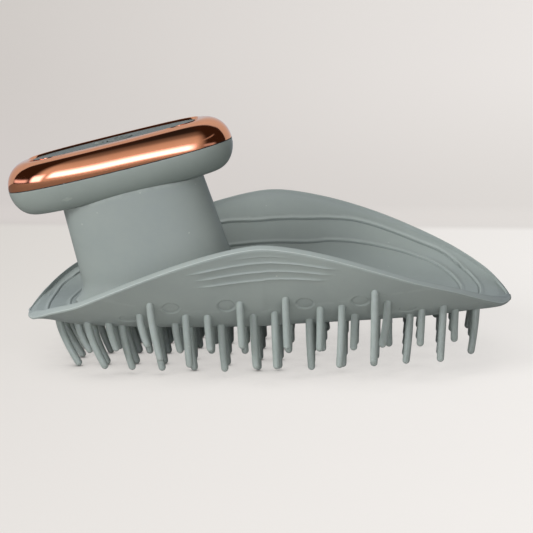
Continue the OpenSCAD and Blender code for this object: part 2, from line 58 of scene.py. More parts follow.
BRISTLE_RADIUS = 1.0
BRISTLE_PITCH = 8.7
LONG_START, SHORT_START = 2.8, 5.9
LONG_SPREAD = [HALF_WIDTH * s for s in (0.729, 0.612, 0.753, 0.859, 0.565, 0.624, 0.353)]
SHORT_SPREAD = [HALF_WIDTH * s for s in (0.816, 0.741, 0.647, 0.776, 0.635, 0.494)]
SHORT_BY = 4.6
BRISTLE_GAP = 14.0

HEAD_TILT = math.radians(14.3)
HEAD_PLACE, HEAD_HEIGHT = -40.3, 51.5
HEAD_HALF, HEAD_SIDE = 30.75, 11.3
CREST_HALF, CREST_SIDE = 24.2, 7.5
BASE_HALF, BASE_SIDE = 24.6, 7.0
TRIM_HEIGHT, SHELL_HEIGHT = 7.1, 7.4
HEAD_SQUARENESS = 2.35
PARTING = 0.25
PANEL_HALF, PANEL_SIDE = 22.7, 6.0
PANEL_SQUARENESS = 3.0
PANEL_TOP, PANEL_THICKNESS = 6.75, 1.4
FIT = 0.15
BUTTON_PLACE, BUTTON_RADIUS = 1.8, 3.6

FOOT_PLACE, FOOT_HALF, FOOT_SIDE = -27.4, 21.4, 10.8
THROAT_PLACE, THROAT_HALF, THROAT_SIDE = 1.5, 19.3, 9.3
NECK_SQUARENESS = 2.3
FLARE, FLARE_HEIGHT = 3.0, 7.0
SLEEVE = 1.5
FLOOR_HEIGHT = KEEL_HEIGHT + FLOOR_THICKNESS
PLATE_HEIGHT = FLOOR_HEIGHT + 0.05

HEAD_REACH = math.hypot(HEAD_HALF * math.cos(HEAD_TILT), SHELL_HEIGHT * math.sin(HEAD_TILT))
PAD_REACH = ((HALF_LENGTH - TOUCH_PLACE) * math.cos(PAD_TILT) + TOUCH_PLACE
             - TIP_HEIGHT * math.sin(PAD_TILT))
CENTRING = (HEAD_REACH - HEAD_PLACE - PAD_REACH) / 2


def mix(a, b, t):
    return a + (b - a) * t


def ease(x, start, length):
    """0 before start, 1 from start + length on, and smooth in between."""
    t = np.clip((x - start) / length, 0, 1)
    return t * t * (3 - 2 * t)


def hump(x, place, width, power=2):
    """1 at a place, falling to 0 on both sides, with a flatter top for a higher power."""
    return np.exp(-((x - place) / width) ** power)


def placed(points, tilt, pivot, x, z):
    """Points tilted about a pivot on their x axis, which lands at x and z of the part frame."""
    points = np.asarray(points, float)
    along, up = points[..., 0] - pivot, points[..., 2]
    c, s = math.cos(tilt), math.sin(tilt)
    return np.stack([along * c - up * s + x + CENTRING, points[..., 1], along * s + up * c + z], -1)


def from_pad(points):
    return placed(points, PAD_TILT, TOUCH_PLACE, TOUCH_PLACE, 0)


def from_head(points):
    return placed(points, HEAD_TILT, 0, HEAD_PLACE, HEAD_HEIGHT)


# ------------------------ mesh helpers

def new_object(name, data):
    thing = bpy.data.objects.new(name, data)
    bpy.context.scene.collection.objects.link(thing)
    return thing


def new_mesh(name, points, faces, unit=MM):
    mesh = bpy.data.meshes.new(name)
    mesh.from_pydata((np.asarray(points) * unit).tolist(), [], faces)
    mesh.update()
    return mesh


def set_smooth(mesh, sharp=None):
    """Smooth shading, with edges left sharp that turn by more than an angle in degrees."""
    mesh.polygons.foreach_set("use_smooth", [True] * len(mesh.polygons))
    if sharp is not None:
        mesh.set_sharp_from_angle(angle=math.radians(sharp))


def make_piece(name, solid, node, material, body="massager", sharp=None):
    """A piece from points in millimetres and faces. It rides on a body and replaces a node."""
    mesh = new_mesh(name, *solid)
    set_smooth(mesh, sharp)
    mesh.materials.append(material)
    piece = new_object(name, mesh)
    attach(piece, body)
    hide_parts(node)
    return piece


def ring_faces(rows, columns, closed):
    """Quads between rings of points; closed joins the last ring to the first one."""
    faces = []
    for j in range(rows if closed else rows - 1):
        a, b = j * columns, (j + 1) % rows * columns
        for i in range(columns):
            k = (i + 1) % columns
            faces.append((a + i, a + k, b + k, b + i))
    return faces


def outward(points, faces):
    """Faces turned so that the closed mesh has a positive volume."""
    corners = np.array([(f[0], f[k], f[k + 1]) for f in faces for k in range(1, len(f) - 1)])
    a, b, c = (points[corners[:, k]] for k in range(3))
    return faces if (a * np.cross(b, c)).sum() > 0 else [f[::-1] for f in faces]


def ring_solid(rings):
    """Points and faces of a ring shaped solid whose rings go once round its wall."""
    rings = np.asarray(rings, float)
    points = rings.reshape(-1, 3)
    return points, outward(points, ring_faces(*rings.shape[:2], True))


def capped_solid(rings):
    """Points and faces of a solid whose rings go from one end to the other, closed by fans."""
    rings = np.asarray(rings, float)
    n, m = rings.shape[:2]
    points = np.vstack([rings.reshape(-1, 3), rings[0].mean(0), rings[-1].mean(0)])
    faces = ring_faces(n, m, False)
    for i in range(m):
        k = (i + 1) % m
        faces.append((k, i, n * m))
        faces.append(((n - 1) * m + i, (n - 1) * m + k, n * m + 1))
    return points, outward(points, faces)


def joined(solids):
    """Points and faces of several solids as one mesh."""
    points, faces, count = [], [], 0
    for some_points, some_faces in solids:
        points.append(some_points)
        faces += [tuple(k + count for k in face) for face in some_faces]
        count += len(some_points)
    return np.concatenate(points), faces


def circle_angles(sides):
    return np.arange(sides) * 2 * math.pi / sides


def signed_power(x, e):
    return np.sign(x) * np.abs(x) ** e


def oval(half_x, half_y, squareness, z, sides=192):
    t = circle_angles(sides)
    return np.stack([half_x * signed_power(np.cos(t), 2 / squareness),
                     half_y * signed_power(np.sin(t), 2 / squareness),
                     np.full(sides, float(z))], -1)


# ------------------------ shader helpers

def put(socket, value):
    """A number, a colour, a vector or another node's output, put into a socket."""
    if isinstance(value, (int, float)):
        socket.default_value = value
    elif isinstance(value, tuple):
        socket.default_value = (*value, 1.0) if socket.type == "RGBA" else value
    else:
        socket.id_data.links.new(value, socket)


def fill(node, **values):
    """Values put into a node's sockets by name, with _ for a space."""
    for label, value in values.items():
        put(node.inputs[label.replace("_", " ")], value)
    return node


def add_node(tree, kind, **values):
    return fill(tree.nodes.new("ShaderNode" + kind), **values)


def math_node(operation, *values):
    """A math node in the tree that the values come from."""
    source = next(v for v in values if not isinstance(v, (int, float)))
    node = add_node(source.id_data, "Math")
    node.operation = operation
    for socket, value in zip(node.inputs, values):
        put(socket, value)
    return node.outputs[0]


def times(a, b):
    return math_node("MULTIPLY", a, b)


def scaled(value, by, plus):
    return math_node("MULTIPLY_ADD", value, by, plus)


def flipped(value):
    return math_node("SUBTRACT", 1.0, value)


def noise(vector, scale, detail, roughness=0.5):
    return add_node(vector.id_data, "TexNoise", Vector=vector, Scale=scale, Detail=detail,
                    Roughness=roughness).outputs["Fac"]


def ramp(value, low, high, smooth=True):
    """0 where a value is below low, 1 where it is above high."""
    node = add_node(value.id_data, "MapRange")
    node.interpolation_type = "SMOOTHSTEP" if smooth else "LINEAR"
    return fill(node, Value=value, From_Min=low, From_Max=high).outputs["Result"]


def blend(factor, a, b):
    node = add_node(factor.id_data, "Mix")
    node.data_type = "RGBA"
    return fill(node, Factor=factor, A=a, B=b).outputs["Result"]


def srgb(r, g, b):
    return tuple(v / 255 / 12.92 if v <= 10 else ((v / 255 + 0.055) / 1.055) ** 2.4
                 for v in (r, g, b))


def set_bump(shader, height, strength, distance):
    bump = add_node(shader.id_data, "Bump", Strength=strength, Distance=distance, Height=height)
    put(shader.inputs["Normal"], bump.outputs["Normal"])


def new_material(name):
    material = bpy.data.materials.new(name)
    material.use_nodes = True
    return material, material.node_tree, material.node_tree.nodes["Principled BSDF"]


# ------------------------ shader groups

def group(name, inputs, outputs):
    """A node group with number sockets: its tree, the surface's place, what is given and made."""
    tree = bpy.data.node_groups.new(name, "ShaderNodeTree")
    add_socket, number = tree.interface.new_socket, "NodeSocketFloat"
    for label, value in inputs.items():
        add_socket(name=label, in_out="INPUT", socket_type=number).default_value = value
    for label in outputs:
        add_socket(name=label, in_out="OUTPUT", socket_type=number)
    place = add_node(tree, "TexCoord").outputs["Object"]
    return tree, place, tree.nodes.new("NodeGroupInput").outputs, tree.nodes.new("NodeGroupOutput")


def place_group(tree, which, **values):
    node = add_node(tree, "Group")
    node.node_tree = which
    return fill(node, **values).outputs


def build_mottle():
    """Slow drift of tone and of gloss over a moulded surface, with a few finer blotches."""
    tree, place, given, made = group("moulding_mottle", {"Size": 60.0}, ("Tone", "Blotch"))
    slow = noise(place, given["Size"], 2.0)
    fine = noise(place, times(given["Size"], 9.0), 4.0, 0.6)
    tone = scaled(slow, 0.7, times(fine, 0.3))
    fill(made, Tone=ramp(tone, 0.3, 0.7), Blotch=ramp(fine, 0.35, 0.75))
    return tree


def build_grain():
    """Height of a fine matt tool grain, with slightly larger ripples below it."""
    tree, place, given, made = group("matt_grain", {"Grain": 4200.0, "Ripple": 350.0}, ("Height",))
    cells = add_node(tree, "TexVoronoi", Vector=place, Scale=given["Grain"]).outputs["Distance"]
    ripple = noise(place, given["Ripple"], 2.0)
    fill(made, Height=scaled(cells, 0.5, ripple))
    return tree


def build_edge_rub_highlight_hollow_shade():
    """Masks of convex edges, broken up by noise, for worn edges and a painted highlight, and of
    concave hollows for painted shade.
    """
    tree, place, given, made = group("edge_rub_highlight_hollow_shade", {"Reach": 0.06, "Break": 500.0},
                                     ("Edge", "Hollow"))
    bend = math_node("SUBTRACT", add_node(tree, "NewGeometry").outputs["Pointiness"], 0.5)
    bend = math_node("DIVIDE", bend, given["Reach"])
    crumble = ramp(noise(place, given["Break"], 3.0), 0.3, 0.6)
    fill(made, Edge=times(ramp(bend, 0.1, 1.0), crumble), Hollow=ramp(times(bend, -1.0), 0.1, 1.0))
    return tree


def build_lint():
    """Sparse specks of pale lint and dust that cling to soft rubber."""
    tree, place, given, made = group("lint_specks", {"Spacing": 700.0, "Share": 0.06}, ("Speck",))
    cells = add_node(tree, "TexVoronoi", Vector=place, Scale=given["Spacing"]).outputs
    pick = add_node(tree, "SeparateColor", Color=cells["Color"]).outputs["Red"]
    chosen = math_node("LESS_THAN", pick, given["Share"])
    near = flipped(ramp(cells["Distance"], 0.05, 0.22))
    fill(made, Speck=times(chosen, near))
    return tree


def build_strokes():
    """Fine polishing strokes and soft finger smudges on plated metal."""
    tree, place, given, made = group("polish_strokes", {"Stroke": 2600.0, "Smudge": 130.0},
                                     ("Height", "Smear"))
    drawn_out = add_node(tree, "Mapping", Vector=place, Scale=(0.12, 1.0, 1.0)).outputs["Vector"]
    smear = noise(place, given["Smudge"], 5.0, 0.65)
    fill(made, Height=noise(drawn_out, given["Stroke"], 3.0), Smear=ramp(smear, 0.42, 0.72))
    return tree


MOTTLE, GRAIN, EDGE_RUB_HIGHLIGHT_HOLLOW_SHADE = build_mottle(), build_grain(), build_edge_rub_highlight_hollow_shade()
LINT, STROKES = build_lint(), build_strokes()

# ------------------------ materials

LINT_TONE = (214, 214, 208)
GRAIN_DEPTH, STROKE_DEPTH = 0.00004, 0.00001
# How strongly the painted shade in hollows, the painted highlight on rims and bead tops, the lint,
# and metal's smears and painted edge highlight show
HOLLOW_SHADE_SHARE, RIM_HIGHLIGHT_SHARE, LINT_SHARE = 0.5, 0.8, 0.35
SMEAR_SHARE, EDGE_HIGHLIGHT_SHARE = 0.18, 0.3
# How far the roughness drifts over moulded rubber or plastic and over smeared metal
GLOSS_DRIFT, SMEAR_GLOSS = 0.10, 0.06


def moulded(name, low, high, rub_highlight_tone, rough, grain=4200.0, ripple=350.0, bump=0.35, lint=0.0,
            subsurface=0.0, specular=0.5, mottle=60.0, hollow_shade=None, rub_highlight_share=0.45, highlight_attribute=None):
    """Moulded rubber or plastic between two tones: matt grain, edges painted lighter as wear and as
    a painted highlight, painted shade in hollows and painted highlight marks where given, and a
    little lint.
    """
    material, tree, shader = new_material(name)
    drift = place_group(tree, MOTTLE, Size=mottle)
    edge = place_group(tree, EDGE_RUB_HIGHLIGHT_HOLLOW_SHADE)
    # convex edges painted in the lighter tone: partly worn edges, partly a painted highlight
    layers = [(edge["Edge"], rub_highlight_share, rub_highlight_tone)]
    if hollow_shade is not None:
        # concave hollows painted in the darker tone: painted shade
        layers.insert(0, (edge["Hollow"], HOLLOW_SHADE_SHARE, hollow_shade))
    if highlight_attribute is not None:
        # points marked on the mesh, the pad's rims and bead tops, painted in the lighter tone: a
        # painted highlight
        marked = add_node(tree, "Attribute")
        marked.attribute_name = highlight_attribute
        layers.append((marked.outputs["Fac"], RIM_HIGHLIGHT_SHARE, rub_highlight_tone))
    if lint:
        layers.append((place_group(tree, LINT, Share=lint)["Speck"], LINT_SHARE, LINT_TONE))
    colour = blend(drift["Tone"], srgb(*low), srgb(*high))
    for mask, strength, tone in layers:
        colour = blend(times(mask, strength), colour, srgb(*tone))
    gloss = scaled(drift["Blotch"], GLOSS_DRIFT, rough - GLOSS_DRIFT / 2)
    fill(shader, Base_Color=colour, Roughness=gloss, Specular_IOR_Level=specular)
    if subsurface:
        fill(shader, Subsurface_Weight=subsurface, Subsurface_Radius=(1.0, 0.9, 0.8),
             Subsurface_Scale=0.0012)
    fine = place_group(tree, GRAIN, Grain=grain, Ripple=ripple)
    set_bump(shader, fine["Height"], bump, GRAIN_DEPTH)
    return material


def plated(name, low, high, smear, rough, stroke=2600.0, bump=0.12):
    """Polished or turned metal with strokes and smudges, and edges painted brighter as a painted
    highlight. Its colours are linear.
    """
    material, tree, shader = new_material(name)
    drift = place_group(tree, MOTTLE, Size=90.0)
    marks = place_group(tree, STROKES, Stroke=stroke)
    edge = place_group(tree, EDGE_RUB_HIGHLIGHT_HOLLOW_SHADE, Reach=0.08)
    colour = blend(drift["Tone"], low, high)
    colour = blend(times(marks["Smear"], SMEAR_SHARE), colour, smear)
    # edges painted in the brighter tone: a painted highlight
    colour = blend(times(edge["Edge"], EDGE_HIGHLIGHT_SHARE), colour, high)
    gloss = scaled(marks["Smear"], SMEAR_GLOSS, rough)
    fill(shader, Base_Color=colour, Metallic=1.0, Roughness=gloss)
    set_bump(shader, marks["Height"], bump, STROKE_DEPTH)
    return material


# the sage silicone gets painted shade in its hollows and a painted highlight on the pad's rims and
# bead tops
SAGE_SILICONE = moulded(
    "sage_silicone", (143, 152, 150), (149, 158, 155), (186, 195, 192), 0.50, lint=0.02,
    hollow_shade=(108, 117, 115), specular=0.45, rub_highlight_share=0.12, highlight_attribute="rim_highlight")
BRISTLE_SILICONE = moulded(
    "bristle_silicone", (145, 155, 152), (153, 162, 160), (170, 179, 176), 0.46, lint=0.02,
    subsurface=0.15, mottle=140.0, bump=0.2)
SLEEVE_SILICONE = moulded(
    "sleeve_silicone", (144, 153, 151), (150, 158, 155), (166, 174, 171), 0.52, lint=0.03,
    specular=0.4, mottle=45.0)
SHELL_PLASTIC = moulded(
    "shell_soft_coat", (137, 146, 142), (143, 152, 148), (168, 175, 170), 0.42, grain=5200.0,
    bump=0.25, mottle=50.0)
PANEL_PLASTIC = moulded(
    "panel_soft_coat", (98, 104, 102), (107, 113, 110), (150, 157, 153), 0.55, grain=5200.0,
    bump=0.25, mottle=70.0, specular=0.3)
BUTTON_PLASTIC = moulded(
    "button_soft_coat", (92, 98, 96), (101, 107, 104), (150, 157, 153), 0.48, grain=5600.0,
    bump=0.2, mottle=120.0, specular=0.35)
COPPER_PLATE = plated(
    "copper_plate", (0.84, 0.345, 0.185), (0.90, 0.39, 0.215), (0.82, 0.38, 0.22), 0.06)
INNER_PLASTIC = moulded(
    "inner_plastic", (205, 200, 188), (214, 209, 198), (226, 222, 212), 0.45, grain=3000.0,
    ripple=500.0)
BLACK_PLASTIC = moulded(
    "black_plastic", (30, 31, 33), (40, 41, 43), (78, 79, 82), 0.35, grain=5200.0, bump=0.3,
    lint=0.02, mottle=200.0)
BLACK_RUBBER = moulded(
    "black_rubber", (27, 27, 28), (36, 36, 38), (62, 62, 64), 0.62, lint=0.04, grain=3600.0,
    mottle=160.0)
STEEL = plated(
    "bright_steel", (0.52, 0.53, 0.55), (0.63, 0.64, 0.66), (0.44, 0.44, 0.45), 0.22,
    stroke=3800.0, bump=0.3)
BRASS = plated(
    "gold_brass", (0.72, 0.50, 0.22), (0.83, 0.62, 0.30), (0.55, 0.40, 0.20), 0.20, stroke=3800.0,
    bump=0.3)
CELL_FOIL = plated(
    "cell_foil", (0.50, 0.52, 0.56), (0.60, 0.62, 0.66), (0.40, 0.41, 0.44), 0.36, stroke=900.0,
    bump=0.6)
BOARD_GREEN = moulded(
    "board_lacquer", (18, 78, 48), (26, 92, 58), (96, 130, 92), 0.30, grain=2400.0, ripple=900.0,
    bump=0.3, mottle=220.0)

# The inner solids are kept as they are and only get their finish
for finish, node_names in (
        (INNER_PLASTIC, "base_plate neck_core cell_tray switch_plunger"),
        (STEEL, "neck_screws motor_can motor_shaft board_screws charge_magnets"),
        (BLACK_RUBBER, "motor_cradle shell_gasket button_gasket"),
        (BLACK_PLASTIC, "switch_body board_chips charge_port"),
        (BRASS, "eccentric_weight charge_contacts"),
        (CELL_FOIL, "battery_cell"),
        (BOARD_GREEN, "circuit_board")):
    for node_name in node_names.split():
        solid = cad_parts[node_name]
        if not solid.material_slots:
            solid.data.materials.append(finish)
        for holder in solid.material_slots:
            holder.material = finish

# ------------------------ brush pad

# Powers of the plan's two halves, and of the curves that close them at the tips
LEFT_POWER, LEFT_CLOSE = 5, 0.5
RIGHT_POWER, RIGHT_CLOSE, RIGHT_EASE = 4, 0.76, 0.20
# The rims' arch: how softly it peaks, its power and how it closes
RIM_SOFT, RIM_POWER, RIM_CLOSE = 0.06, 1.37, 0.89
# The keel's rise towards the left and right tips, and the belly's squareness across
KEEL_POWERS = 1.35, 2.75
BELLY_MIDDLE, BELLY_LEFT, BELLY_RIGHT = 4.6, 1.15, 2.5
# Height of a rim's inner edge above the wall, in rim radii, where the bowl closes
CLOSED_RISE = 0.93

# Round marks on the outer wall: place along the pad and share of the way up to the rim
MARKS = [
    (-35.2, 0.764), (-23.7, 0.832), (-9.4, 0.817), (10.7, 0.791), (25.0, 0.815), (37.1, 0.749)]
MARK_RADIUS = 2.3
# Raised lines on the outer wall: share of the way up, both ends along the pad and height
LINES = [
    (0.9865, -8.5, 9.5, 0.12), (0.9705, -19.5, 20.8, 0.42), (0.945, -17.8, 19.6, 0.42),
    (0.9185, -17.4, 18.0, 0.42)]
LINE_FADE, LINE_SAG = 5.0, 0.0035

# Two beads run round inside the bowl, here from the left end to the right one, in plan
HIGH_BEAD = [
    (-59.9, 0), (-59.6, 8.8), (-58.6, 18.2), (-55.9, 25.1), (-53.5, 28.5), (-47.5, 33.2),
    (-38, 36.4), (-26, 37.9), (-13.8, 38.0), (-3.4, 37.4), (8, 37.7), (16.1, 38.2), (23.6, 38.3),
    (31.1, 37.2), (38.4, 34.7), (45.7, 30.4), (51.2, 24.8), (55.0, 17.5), (57.0, 8.5), (57.6, 0)]
LOW_BEAD = [
    (-54.2, 0), (-53.5, 7.2), (-51.9, 15.5), (-48.5, 21.8), (-42, 27.5), (-33, 31.6), (-22, 33.4),
    (-11.6, 33.6), (7.8, 33.6), (16, 34.3), (23.5, 34.2), (30.9, 33.1), (38.2, 30.5), (45.6, 25.1),
    (49.7, 17.9), (51.6, 9.5), (52.4, 0)]
# Each bead: its line, how far inside it the bead runs and its height, then the same for the
# painted highlight along its crest and how pale that is
BEADS = [(HIGH_BEAD, 1.0, 0.46, 0.55, 0.62), (LOW_BEAD, 0.9, 0.40, 0.45, 0.50)]
CREST_WIDTH = 0.42

# Points of the pad's grid along it, across half the belly and across half the bowl
STATIONS, BELLY_POINTS, BOWL_POINTS = 440, 150, 96
EVEN_STEPS = 2401
LOOP_POINTS, LOOP_CUTS = 1400, 40
POINTS_AT_ONCE = 4000


def share(x):
    """0 in the middle of the pad and 1 at its tips."""
    return np.minimum(1, np.abs(x) / HALF_LENGTH)


def leaf(x):
    """Half the pad's width."""
    t = share(x)
    left = np.maximum(0, 1 - t ** LEFT_POWER) ** LEFT_CLOSE
    close = RIGHT_CLOSE - RIGHT_EASE * ease(t, 0.70, 0.29)
    right = np.maximum(0, 1 - t ** RIGHT_POWER) ** close
    return np.maximum(NARROWEST, HALF_WIDTH * np.where(x < 0, left, right))


def rim_z(x):
    """Top of the rims: an arch, with what the left end and the right half add to it."""
    t = np.hypot(share(x), RIM_SOFT) / math.hypot(1, RIM_SOFT)
    arch = TIP_HEIGHT + RIM_RISE * np.maximum(0, 1 - t ** RIM_POWER) ** RIM_CLOSE
    left = ease(-x, 46, 11) - 0.45 * ease(-x, 62, 3)
    return arch + left + 0.2 * hump(x, 18, 14) + 0.45 * ease(x, 38, 14)


def keel_z(x):
    keel = mix(KEEL_HEIGHT, TIP_HEIGHT - TIP_THICKNESS, share(x) ** np.where(x < 0, *KEEL_POWERS))
    return keel + 1.3 * ease(-x, 49, 15) + 0.35 * ease(x, 42, 14)


def belly_squareness(x):
    return np.where(x < 0, mix(BELLY_MIDDLE, BELLY_LEFT, share(x) ** 2),
                    mix(BELLY_MIDDLE, BELLY_RIGHT, share(x) ** 0.65))


def rim_radius(x):
    return np.minimum(np.minimum(WALL / 2, leaf(x) / 3), (rim_z(x) - keel_z(x)) / 3)


def land_half(x):
    """Half the rim's width across the pad: the rim keeps its thickness where it runs aslant."""
    slant = (leaf(x + 0.05) - leaf(x - 0.05)) / 0.1
    return np.minimum(rim_radius(x) * np.sqrt(1 + slant ** 2), 0.47 * leaf(x))


def side_top(x):
    return rim_z(x) - rim_radius(x)


def floor_z(x):
    floor = mix(FLOOR_HEIGHT, keel_z(x) + TIP_THICKNESS, share(x) ** 12)
    return np.minimum(side_top(x) - 0.05, floor)


def belly_z(x, y):
    up = np.minimum(1, np.abs(y) / leaf(x)) ** belly_squareness(x)
    return mix(keel_z(x), side_top(x), up)


def open_share(x):
    """How far the bowl is open: 1 along the pad, falling to 0 in the solid tips."""
    return ease(leaf(x) - 2 * land_half(x), 0.3, 2.2)


def bowl_z(x, s):
    """Inside of the bowl, with s from -1 to 1 across it."""
    y = s * (leaf(x) - 2 * land_half(x))
    deep = np.minimum(SKIN, 0.6 * (side_top(x) - keel_z(x)))
    wall = mix(floor_z(x), side_top(x), np.abs(s) ** 5)
    bowl = np.maximum(wall, belly_z(x, y) + deep * np.sqrt(np.maximum(0, 1 - s ** 4)))
    return mix(side_top(x) + CLOSED_RISE * rim_radius(x), bowl, open_share(x))


def spaced_by(density, count, low=0.0, high=1.0):
    """Values from low to high, packed where density is high. Density goes by even steps."""
    grid = np.linspace(low, high, len(density))
    total = np.concatenate([[0], np.cumsum((density[1:] + density[:-1]) / 2)])
    return np.interp(np.linspace(0, total[-1], count), total, grid)


def smooth_loop(half_points):
    """Closed smooth plan curve, mirrored about the pad's middle line, and its outward normals."""
    half = np.asarray(half_points, float)
    b = np.concatenate([half, (half * [1, -1])[-2:0:-1]])[:, None]
    a, c, d = np.roll(b, 1, 0), np.roll(b, -1, 0), np.roll(b, -2, 0)
    t = np.linspace(0, 1, LOOP_CUTS, endpoint=False)[:, None]
    path = 0.5 * (2 * b + (c - a) * t + (2 * a - 5 * b + 4 * c - d) * t * t
                  + (3 * b - a - 3 * c + d) * t ** 3).reshape(-1, 2)
    path = np.vstack([path, path[:1]])
    reach = np.concatenate([[0], np.cumsum(np.linalg.norm(np.diff(path, axis=0), axis=1))])
    along = np.linspace(0, reach[-1], LOOP_POINTS, endpoint=False)
    curve = np.stack([np.interp(along, reach, path[:, k]) for k in (0, 1)], -1)
    tangent = np.roll(curve, -1, 0) - np.roll(curve, 1, 0)
    tangent /= np.linalg.norm(tangent, axis=1)[:, None]
    normal = np.stack([tangent[:, 1], -tangent[:, 0]], -1)
    return curve, normal if (normal * curve).sum() > 0 else -normal


def distance_to(line, points, slopes):
    """Distance along the surface from each point to a line, positive towards the rim."""
    curve, normal = smooth_loop(line)
    found = []
    for k in range(0, len(points), POINTS_AT_ONCE):
        p, slope = points[k:k + POINTS_AT_ONCE], slopes[k:k + POINTS_AT_ONCE]
        near = ((p[:, None, :] - curve[None]) ** 2).sum(-1).argmin(1)
        off, n = p - curve[near], normal[near]
        flat = np.linalg.norm(off, axis=1) * np.sign((off * n).sum(1))
        found.append(flat * np.sqrt(1 + (slope * n).sum(1) ** 2))
    return np.concatenate(found)


def bead_shape(d, height):
    """Bead: soft on the rim's side, sharp on the inner one, with a fine groove at its foot."""
    bead = np.where(d > 0, hump(d, 0, 0.85), hump(d, 0, 0.12))
    return height * (bead - 0.75 * hump(d, -0.30, 0.16))


def grid_points(x, y, z):
    return np.stack(np.broadcast_arrays(x, y, z), -1)


def grid_normals(points):
    around = np.roll(points, -1, 1) - np.roll(points, 1, 1)
    n = np.cross(around, np.gradient(points, axis=0))
    return n / np.maximum(np.linalg.norm(n, axis=-1, keepdims=True), 1e-9)


def pad_stations():
    """Places along the pad, finer at the round marks and at the beads' two ends."""
    grid = np.linspace(-HALF_LENGTH, HALF_LENGTH, EVEN_STEPS)
    density = 1 - (grid / (HALF_LENGTH + 0.15)) ** 2
    density = 1 / (0.62 * np.sqrt(np.maximum(density, 0.0025)))
    for place, _ in MARKS:
        density += 3.0 * hump(grid, place, 2.7, 8)
    for place, reach in ((-56.5, 5.0), (54.5, 5.5)):
        density += 3.5 * hump(grid, place, reach, 4)
    return spaced_by(density, STATIONS, -HALF_LENGTH, HALF_LENGTH)


def belly_shares():
    """Shares of the half width from rim to rim, packed at the marks and the raised lines."""
    fine = np.linspace(0, 1, EVEN_STEPS)
    density = 0.7 + 2.0 * ease(fine, 0.66, 0.06) + ease(fine, 0.88, 0.02)
    for level, _, _, _ in LINES:
        density += 13.0 * hump(fine, level + 0.0010, 0.0036, 4)
    half = spaced_by(density, BELLY_POINTS)
    return np.concatenate([-half[:0:-1], half])


def bowl_shares(xs):
    """Shares of the bowl's half width from side to side at each station, packed at the beads."""
    fine = np.linspace(0, 1, EVEN_STEPS)
    sides = [np.interp(xs, *np.asarray(line, float).T) for line in (HIGH_BEAD, LOW_BEAD)]
    half = []
    for k, x in enumerate(xs):
        density = np.full(len(fine), 0.8)
        for side in sides:
            at = side[k] / (leaf(x) - 2 * land_half(x))
            density += 7.0 * hump(fine, at - 0.026, 0.024) * ease(at, 0.15, 0.45) * (at < 1)
        half.append(spaced_by(density, BOWL_POINTS))
    half = np.asarray(half)
    return np.concatenate([half[:, ::-1], -half[:, 1:]], 1)


def rim_profile():
    """The rim across its width, in rim radii from the wall's top: a land that falls slightly
    outwards, between a crisp outer and a crisp inner corner."""
    def corner(x, z, radius, angles):
        a = np.radians(angles)
        return np.stack([x + radius * np.cos(a), z + radius * np.sin(a)], -1)

    outer = corner(0.84, 0.31, 0.16, (0, 20, 40, 58, 74))
    inner = corner(-0.85, 0.81, 0.15, (74, 100, 125, 152, 180))
    land = mix(outer[-1], inner[0], np.array([[0.25], [0.5], [0.75]]))
    return np.vstack([(1.0, 0.16), outer, land, inner, (-1.0, 0.45)]).T


